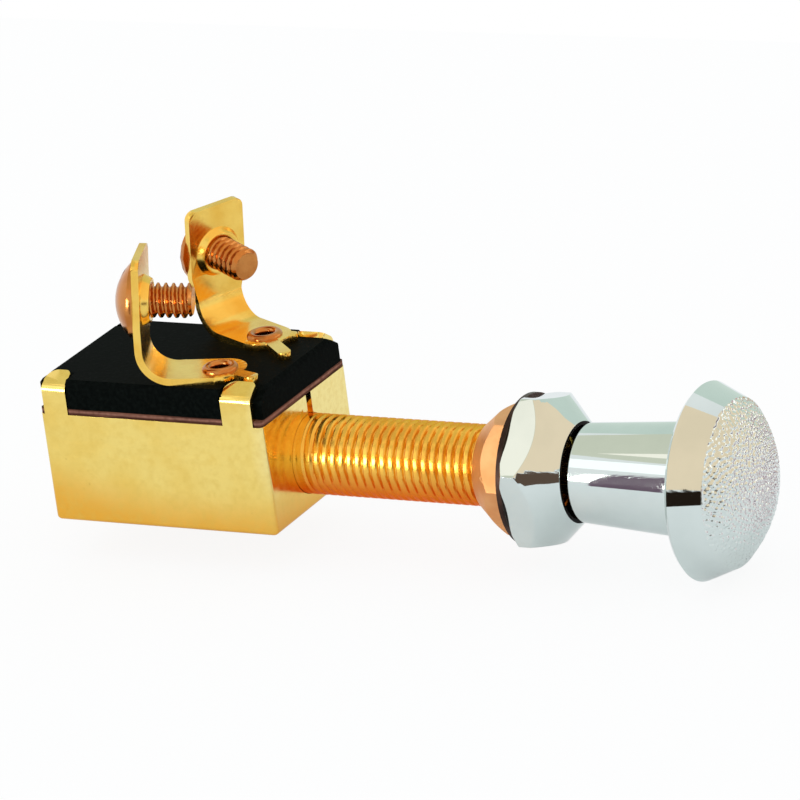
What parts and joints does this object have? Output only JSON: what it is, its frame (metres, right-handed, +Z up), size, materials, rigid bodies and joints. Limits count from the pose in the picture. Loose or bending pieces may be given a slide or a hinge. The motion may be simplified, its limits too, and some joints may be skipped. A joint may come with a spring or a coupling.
{
  "type": "push-pull switch",
  "caption": "Panel-mount push-pull switch: brass box case with screw terminals, threaded neck, clamping nuts and a chromed pull knob with a pebbled face.",
  "frame": {"origin": "on the neck's axis at the face nut's back, where it meets the lock washer, which is the panel's clamping plane", "axes": "+X along the neck's axis towards the knob, +Z up from the case through the screw terminals, +Y to the left seen from the knob's back"},
  "size_m": [0.1035, 0.0302, 0.0451],
  "materials": {
    "case_brass": "polished sheet brass",
    "neck_brass": "turned brass",
    "terminal_brass": "bright stamped brass",
    "rod_brass": "drawn brass rod",
    "copper": "copper-coloured plating",
    "fibre": "vulcanised fibre sheet",
    "board": "matte black moulding",
    "carriage": "dark moulding",
    "chrome": "bright chrome plate",
    "washer_steel": "blackened spring steel",
    "clip_steel": "spring steel"
  },
  "bodies": {
    "switch_body": {"case": "case_brass", "neck": "neck_brass", "fibre_sheet": "fibre", "terminal_board": "board", "near_terminal": "terminal_brass", "far_terminal": "terminal_brass", "near_rivet": "copper", "far_rivet": "copper", "near_terminal_screw": "copper", "far_terminal_screw": "copper", "lock_washer": "washer_steel", "back_nut": "neck_brass", "face_nut": "chrome"},
    "plunger": {"knob": "chrome", "plunger_rod": "rod_brass", "rod_clip": "clip_steel", "carriage": "carriage", "contact_spring": "clip_steel"},
    "contact": {"bridge_contact": "copper"}
  },
  "joints": [
    {"name": "knob_pull", "type": "slide", "parent": "switch_body", "child": "plunger", "axis": [1, 0, 0], "range_m": [0, 0.0095]},
    {"name": "contact_float", "type": "slide", "parent": "plunger", "child": "contact", "axis": [0, 0, 1], "range_m": [-0.0006, 0], "stiffness_N_per_m": 1500, "springref_m": 0.002, "deforming": ["contact_spring"]}
  ]
}
